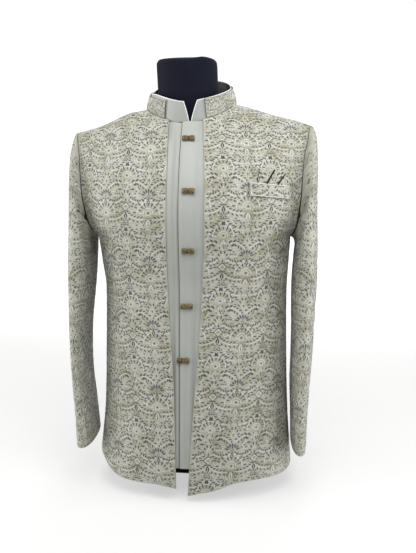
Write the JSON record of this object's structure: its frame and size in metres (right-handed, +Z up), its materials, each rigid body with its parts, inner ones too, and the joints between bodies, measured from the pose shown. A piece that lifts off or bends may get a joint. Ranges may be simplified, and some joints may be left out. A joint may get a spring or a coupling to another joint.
{
  "type": "bandhgala jacket on a dress form",
  "caption": "Embroidered bandhgala jacket with an ivory buttoned inner front, on a limbless dress form.",
  "frame": {"origin": "on the dress form's flat foot, straight below the middle of the shoulders, on the surface it stands on", "axes": "+Z up; the wearer faces -Y, and the wearer's left is +X"},
  "size_m": [0.4908, 0.2706, 0.84],
  "materials": {
    "embroidered_cloth": "matt, all-over thread embroidery with small sequins",
    "ivory_satin": "satin",
    "antique_gold": "satin, darkened in the hollows",
    "navy_cover": "matt"
  },
  "bodies": {
    "root": {"front_right": "embroidered_cloth", "front_left": "embroidered_cloth", "back_right": "embroidered_cloth", "back_left": "embroidered_cloth", "sleeve_right_under": "embroidered_cloth", "sleeve_right_top": "embroidered_cloth", "sleeve_left_under": "embroidered_cloth", "sleeve_left_top": "embroidered_cloth", "collar": "embroidered_cloth", "breast_welt": "embroidered_cloth", "pocket_square": "embroidered_cloth", "collar_inner": "ivory_satin", "inner_front_left": "ivory_satin", "inner_front_right": "ivory_satin", "button_1": "antique_gold", "button_2": "antique_gold", "button_3": "antique_gold", "button_4": "antique_gold", "button_5": "antique_gold", "dress_form": "navy_cover"}
  },
  "joints": []
}
